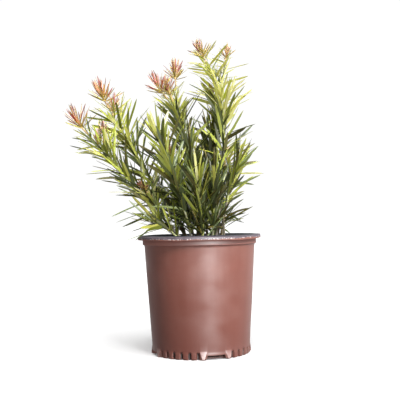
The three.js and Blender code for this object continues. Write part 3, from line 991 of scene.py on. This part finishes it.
leafTints = {
    "deep": [(38, 46, 4), (58, 70, 12), (92, 106, 66), (84, 74, 24)],
    "mid": [(92, 104, 14), (124, 134, 32), (146, 146, 48), (112, 126, 76)],
    "lime": [(178, 190, 74), (202, 208, 104), (194, 188, 88), (164, 170, 60)],
    "pale": [(220, 216, 142), (232, 226, 164), (208, 204, 118)],
    "young": [(230, 170, 120), (242, 222, 170), (228, 172, 160), (132, 56, 50), (196, 186, 98)],
}
# the under faces are darker than the upper ones for most kinds: partly their own duller colour, partly
# painted shade for undersides turned from the light
underTints = {
    "deep": (80, 86, 26),
    "mid": (112, 118, 36),
    "lime": (160, 166, 76),
    "pale": (190, 188, 104),
    "young": (150, 60, 52),
}
underShare = 0.40  # how far an under face goes to its tint
ribTint = (214, 214, 130)
ribTintShare = 0.35
leafGloss = {"Upper": 0.36, "Rib": 0.40, "Under": 0.52}
leafGlow = {"deep": 0, "mid": 0.18, "lime": 0.5, "pale": 0.5, "young": 0.35}  # light that comes through
tuftTints = {  # a tuft's young tints, from its outer leaves to its inner ones
    "orange": (4, 1, 3, 1, 0, 1, 3, 0),
    "rust": (4, 0, 3, 1, 0, 3, 0, 3),
    "coral": (4, 1, 3, 2, 1, 3, 0, 1),
    "pink": (4, 1, 3, 2, 1, 2, 3, 2),
    "bronze": (4, 3, 0, 3),
    "pale": (4, 1, 2, 1, 1, 2),
    "faded": (4, 1, 4, 2, 1, 3, 4, 0),
}


def placeLeaf(course, share, habit, rise=0):  # where a leaf stands and the way it points
    turn = math.radians(habit["turn"])
    spread = math.radians(habit["spread"])
    tangent = (course.tangent(share) + up * rise).normalized()
    third = course.across.cross(tangent)
    away = course.across * math.cos(turn) + third * math.sin(turn)
    along = (tangent * math.cos(spread) + away * math.sin(spread) + up * habit["lift"]).normalized()
    beyond = (along - up * habit["sag"] + away * habit["curl"]).normalized()
    facing = (tangent - along * tangent.dot(along)).normalized()
    facing.rotate(Matrix.Rotation(math.radians(habit["roll"]), 3, along))
    root = course.point(share)
    bend = root + along * (habit["length"] * leafLook["bendAt"])
    tip = bend + beyond * (habit["length"] * (1 - leafLook["bendAt"]))
    return {**habit, "root": root, "bend": bend, "tip": tip, "across": facing.cross(along)}


def clearOfPot(leaf):  # a leaf that would run into the mix or the pot's lip is left out
    for step in range(clear["probes"]):
        share = (step + 1) / clear["probes"]
        first = leaf["root"].lerp(leaf["bend"], share)
        spot = first.lerp(leaf["bend"].lerp(leaf["tip"], share), share)
        radius = math.hypot(spot.x, spot.y)
        inner = pot["collarRadius"] - pot["wall"] - clear["wall"]
        outer = pot["lipRadius"] + clear["lip"]
        if radius < inner and spot.z < mix["level"] + clear["mix"]:
            return False
        if inner <= radius < outer and spot.z < pot["height"] + clear["aboveLip"]:
            return False
    return True


def ageKind(below, twig, vary):  # which kind of leaf grows this far below the tip
    # a stem's shift of colour age is partly painted light and shade
    age = below + twig["paintedShadeAndAge"] + vary * ageLook["vary"]
    age += ageLook["restingAge"] if twig["end"] == "resting" else 0
    if age < ageLook["limeTo"]:
        return "pale" if age < ageLook["paleTo"] else "lime"
    return "mid" if age < ageLook["midTo"] else "deep"


def leavesOf(twig):  # full leaves from the oldest to the youngest, then the tuft of a growing tip
    course = twig["course"]
    throw = dice(twig["seed"])
    detail = dice(twig["seed"] + seeds["detail"])
    tip = resting if twig["end"] == "resting" else growing
    crowded = tuftLook["height"] if twig["end"] == "growing" else 0
    leafy = course.length * (1 - twig["start"])
    found = []

    def vary(amount, source=throw):
        return (source() * 2 - 1) * amount

    for index in range(math.floor((leafy - crowded) / leafLook["spacing"])):
        along = (index + 0.5) * leafLook["spacing"]
        below = leafy - along + twig["old"]
        size = twig["leaf"] * lerp(tip["size"], 1, smoothStep(below, 0, leafLook["fullSizeAt"]))
        opened = lerp(tip["spread"], leafLook["spread"], smoothStep(below, 0, leafLook["fullSpreadAt"]))
        droop = min(leafLook["droopMost"], max(0, below - leafLook["droopFrom"]) * leafLook["droopPerMetre"])
        unruly = leafLook["unruly"] * smoothStep(below, leafLook["unrulyFrom"], leafLook["unrulyTo"])
        habit = {
            "turn": index * leafLook["turn"] + vary(leafLook["vary"]["turn"]),
            "spread": opened + droop + twig["open"] + vary(leafLook["vary"]["spread"] * (1 + unruly)),
            "length": leafLook["length"] * size * (1 + vary(leafLook["vary"]["length"])),
            "lift": leafLook["lift"],
            "sag": min(leafLook["sagMost"], leafLook["sagPerMetre"] * below) + vary(leafLook["vary"]["sag"]),
            "curl": leafLook["curl"] + vary(leafLook["vary"]["curl"]),
            "roll": vary(leafLook["vary"]["roll"]),
        }
        slim = lerp(1, leafLook["slim"], smoothStep(below, leafLook["slimFrom"], leafLook["slimTo"]))
        if twig["end"] == "growing":
            slim *= lerp(leafLook["narrow"], 1, smoothStep(below, 0, leafLook["fullSizeAt"]))
        habit["width"] = leafLook["width"] * size * slim * (1 + vary(leafLook["widthVary"], detail))
        habit["twist"] = vary(leafLook["twist"], detail)
        habit["kind"] = ageKind(below, twig, vary(1, detail))
        habit["tint"] = int(detail() * len(leafTints[habit["kind"]]))
        leaf = placeLeaf(course, twig["start"] + along / course.length, habit)
        sparse = twig["end"] == "growing" and below < growing["sparseTo"] and index % 2
        aged = smoothStep(leafy - along, leafLook["losesFrom"], leafLook["losesTo"])
        lost = lerp(*leafLook["missing"], aged)
        skipped = detail() < max(lost, twig["lost"]) or sparse
        if not skipped and clearOfPot(leaf):
            found.append(leaf)
    if crowded:
        found.extend(tuftLeaves(twig, detail))
    return found


def tuftLeaves(twig, throw):
    course = twig["course"]
    colour, size = twig["tuft"]
    tints = tuftTints[colour]
    found = []

    def vary(name):
        return (throw() * 2 - 1) * tuftLook["vary"][name]

    for index in range(tuftLook["count"]):
        place = (index + 0.5) / tuftLook["count"]
        habit = {
            "turn": index * leafLook["turn"] + vary("turn"),
            "spread": lerp(*tuftLook["spread"], place) + vary("spread"),
            "length": size * lerp(*tuftLook["length"], place) * (1 + vary("length")),
            "lift": 0,
            "sag": 0,
            "curl": tuftLook["curl"] + vary("curl"),
            "roll": vary("roll"),
            "width": tuftLook["width"] * lerp(tuftLook["fixedWidth"], 1, size),
            "twist": 0,
            "kind": "young",
        }
        rank = max(0, place + (throw() - 0.5) * tuftLook["mixed"])
        habit["tint"] = tints[min(len(tints) - 1, int(rank * len(tints)))]
        share = 1 - tuftLook["height"] * (1 - place) / course.length
        found.append(placeLeaf(course, share, habit, tuftLook["rise"]))
    return found


def outline(share):  # half a leaf's width along it, beside its widest
    opening = lerp(blade["foot"], 1, smoothStep(share, 0, blade["footTo"]))
    point = max(0, (share - blade["pointFrom"]) / (1 - blade["pointFrom"])) ** blade["pointPower"]
    return opening * (1 - blade["narrowing"] * share) * (1 - point) + blade["tip"]


def tintAt(leaf, share):  # a tuft's leaves are green at their feet
    green = leaf["kind"] == "young" and share < tuftLook["footTo"]
    return len(leafTints["young"]) - 1 if green else leaf["tint"]


def leafMesh(leaves, cuts):  # closed keeled blades with a raised rib, as one mesh
    shares = np.array(cuts)
    sections = len(cuts) - 1
    keys = ("root", "bend", "tip", "across")
    root, bend, tip, across = (np.array([leaf[key] for leaf in leaves])[:, None] for key in keys)
    width = np.array([leaf["width"] for leaf in leaves])[:, None, None] / 2
    twist = np.radians([leaf["twist"] for leaf in leaves])[:, None, None]
    along = shares[None, :, None]
    middle = root * (1 - along) ** 2 + 2 * bend * along * (1 - along) + tip * along**2
    tangent = (bend - root) * (1 - along) + (tip - bend) * along
    tangent = tangent / np.linalg.norm(tangent, axis=2, keepdims=True)
    across = across - tangent * np.sum(tangent * across, axis=2, keepdims=True)
    across = across / np.linalg.norm(across, axis=2, keepdims=True)
    facing = np.cross(tangent, across)
    turned = across * np.cos(twist * along) + facing * np.sin(twist * along)
    facing = np.cross(tangent, turned)
    half = width * np.array([outline(share) for share in shares])[None, :, None]
    thin = np.minimum(1, half / leafLook["thinBelow"])
    rib = leafLook["ribShare"]
    section = [(-1, 0), (-rib, 1), (rib, 1), (1, 0), (rib, -1), (-rib, -1)]
    rings = []
    for sideways, lift in section:
        depth = leafLook["ribRise"] if lift > 0 else leafLook["keel"]
        drop = leafLook["camber"] * half * sideways**2
        rings.append(middle + turned * half * sideways + facing * (lift * depth * thin - drop))
    points = np.stack(rings, axis=2)
    count = len(section)
    stride = (sections + 1) * count
    upper, ribPart, under = range(3)  # places in a tint's finishes
    sidePart = (upper, ribPart, upper, under, under, under)
    faces, parts = [], []
    for step in range(sections):
        for side in range(count):
            after = (side + 1) % count
            low, high = step * count, (step + 1) * count
            faces.append((low + side, low + after, high + after, high + side))
            parts.append((step, sidePart[side]))
    faces += [tuple(reversed(range(count))), tuple(range(sections * count, stride))]
    parts += [(0, under), (sections, under)]
    every = [[number + index * stride for number in face] for index in range(len(leaves)) for face in faces]
    slots = [tintAt(leaf, shares[step]) * len(leafGloss) + part for leaf in leaves for step, part in parts]
    mesh = bpy.data.meshes.new("leaves")
    mesh.from_pydata(points.reshape(-1, 3).tolist(), [], every)
    mesh.polygons.foreach_set("material_index", slots)
    return mesh


def leafSkin(colour, gloss, glow):  # one plain colour, with a waxy skin that is finely uneven
    def build(board):
        cloudy = board.noise(150, 4)
        veins = board.noise(1100, 2)
        return {
            "Base Color": colour,
            "Roughness": gloss + cloudy * 0.16,
            "Normal": board.bump(cloudy + veins * 0.5, 0.25, 0.0004),
            "Specular IOR Level": 0.16,
            "Subsurface Weight": glow,
            "Subsurface Radius": (1.0, 1.0, 0.35),
            "Subsurface Scale": 0.003,
        }

    return build


def leafFinishes(kind):  # upper face, rib and under face of each tint
    made = []
    for index, tint in enumerate(leafTints[kind]):
        upper = paint(*tint)
        rib = mixPaint(upper, paint(*ribTint), ribTintShare)
        under = mixPaint(upper, paint(*underTints[kind]), underShare)
        for (part, gloss), colour in zip(leafGloss.items(), (upper, rib, under)):
            made.append(finish(f"{kind}{part}{index}", leafSkin(colour, gloss, leafGlow[kind])))
    return made


barkFinish = finish("stemBark", stemBark)
allTwigs = []
for order, spec in enumerate(stems):
    name, nodes = f"limb_{spec['name']}", [f"stem_{spec['name']}"]
    addPiece(name, limbMesh(order, spec), [barkFinish], nodes, limb["sharpFrom"])
    allTwigs.extend(twigsOf(order, spec))
print("stems made:", len(stems))

masses = [f"foliage_{spec['name']}" for spec in stems]
twigFinishes = [finish(name, twigSkin(*tints)) for name, tints in twigLook["tints"].items()]
addPiece("twigs", twigMesh(allTwigs), twigFinishes, masses, twigLook["sharpFrom"])
print("twigs made:", len(allTwigs))

leaves = [leaf for twig in allTwigs for leaf in leavesOf(twig)]
leafPieces = []
for kind in leafTints:
    chosen = [leaf for leaf in leaves if leaf["kind"] == kind]
    mesh = leafMesh(chosen, (tuftLook if kind == "young" else leafLook)["cuts"])
    finishes = leafFinishes(kind)
    piece = addPiece(f"leaves_{kind}", mesh, finishes, masses, leafLook["sharpFrom"])
    leafPieces.append(piece)
    print(kind, "leaves made:", len(chosen))

# Floor, light and camera
stage = {"half": 30.0, "cuts": 8, "pale": (218, 218, 218), "cloud": (210, 210, 210), "cloudShare": 0.04}
suns = [
    {  # for all but the floor
        "name": "sun", "bearing": 38, "height": 41, "strength": 5.8, "angle": 18,
        "on": "floor", "state": "EXCLUDE",
    },
    {  # a much softer one for the floor
        "name": "wash", "bearing": 12, "height": 52, "strength": 5.5, "angle": 75,
        "on": "floor", "state": "INCLUDE",
    },
    {  # a low one for under the pot's lip
        "name": "fill", "bearing": 6, "height": -8, "strength": 0.8, "angle": 60,
        "on": "pot", "state": "INCLUDE",
    },
    {  # a faint one for the shade among the leaves
        "name": "lift", "bearing": -20, "height": 0, "strength": 0.7, "angle": 80,
        "on": "leaves", "state": "INCLUDE",
    },
]
strip = {"place": (0.68, -1.55, 0.70), "aim": (0, 0, 0.16), "size": (0.22, 0.8), "watts": 300}
sky = {"shown": 1.02, "soft": 0.57, "softRight": 0.16, "shiny": 0.32, "shinyRight": 0.45, "shinySides": 0.40}
camera = {
    "place": (0, -1.386, 0.2443), "pitch": 1.47, "yaw": -0.12, "roll": -1.11,
    "lens": 67.24, "sensor": 36, "clip": 0.05,
}


def floorPaint(board):
    cloud = board.noise(3, 2) * stage["cloudShare"]
    return {"Base Color": board.blend(cloud, paint(*stage["pale"]), paint(*stage["cloud"])), "Roughness": 0.9}


def makeFloor():
    bm = bmesh.new()
    bmesh.ops.create_grid(bm, x_segments=stage["cuts"], y_segments=stage["cuts"], size=stage["half"])
    floor = bpy.data.objects.new("floor", meshFrom(bm, "floor"))
    floor.data.materials.append(finish("floorPaint", floorPaint))
    floor.visible_diffuse = False  # no bounced light, so that the far side of the pot stays dark
    floor.visible_glossy = False
    scene.collection.objects.link(floor)
    return floor


def makeSuns(targets):
    for spec in suns:
        ray = bpy.data.lights.new(spec["name"], "SUN")
        ray.energy = spec["strength"]
        ray.angle = math.radians(spec["angle"])
        lamp = bpy.data.objects.new(spec["name"], ray)
        tilt = math.radians(90 - spec["height"])
        lamp.rotation_euler = (tilt, 0, math.radians(spec["bearing"]))
        lit = bpy.data.collections.new(spec["name"])
        for piece in targets[spec["on"]]:
            lit.objects.link(piece)
        for member in lit.collection_objects:
            member.light_linking.link_state = spec["state"]
        lamp.light_linking.receiver_collection = lit
        scene.collection.objects.link(lamp)


def makeStrip():
    panel = bpy.data.lights.new("strip", "AREA")
    panel.shape = "RECTANGLE"
    panel.size, panel.size_y = strip["size"]
    panel.energy = strip["watts"]
    lamp = bpy.data.objects.new("strip", panel)
    lamp.location = strip["place"]
    aim = Vector(strip["aim"]) - Vector(strip["place"])
    lamp.rotation_euler = aim.to_track_quat("-Z", "Y").to_euler()
    lamp.visible_diffuse = False  # it only draws highlights
    scene.collection.objects.link(lamp)


def makeWorld():  # white all round, dimmer as a source of soft light and of reflections
    world = bpy.data.worlds.new("studio")
    world.use_nodes = True
    board = Board(world.node_tree)
    soft = board.node("ShaderNodeLightPath", output="Is Diffuse Ray")
    shiny = board.node("ShaderNodeLightPath", output="Is Glossy Ray")
    backdrop = world.node_tree.nodes["Background"]
    board.feed(backdrop.inputs["Color"], (1, 1, 1, 1))
    way = board.node("ShaderNodeTexCoord", output="Generated")
    fromRight = board.node("ShaderNodeSeparateXYZ", {}, {0: way}, "X")
    fromSides = fromRight * sky["shinyRight"] + fromRight * fromRight * sky["shinySides"]
    dimmed = soft * (sky["soft"] - fromRight * sky["softRight"]) + shiny * (sky["shiny"] - fromSides)
    board.feed(backdrop.inputs["Strength"], sky["shown"] - dimmed)
    scene.world = world


def makeCamera():
    lens = bpy.data.cameras.new("camera")
    lens.lens = camera["lens"]
    lens.sensor_width = camera["sensor"]
    lens.clip_start = camera["clip"]
    holder = bpy.data.objects.new("camera", lens)
    yaw = Matrix.Rotation(math.radians(camera["yaw"]), 4, "Z")
    pitch = Matrix.Rotation(math.radians(90 + camera["pitch"]), 4, "X")
    roll = Matrix.Rotation(math.radians(camera["roll"]), 4, "Z")
    holder.matrix_world = Matrix.Translation(camera["place"]) @ yaw @ pitch @ roll
    scene.collection.objects.link(holder)
    scene.camera = holder


makeSuns({"floor": [makeFloor()], "pot": [potShell], "leaves": leafPieces})
makeStrip()
makeWorld()
makeCamera()
scene.view_settings.view_transform = "Standard"
print("stage set")
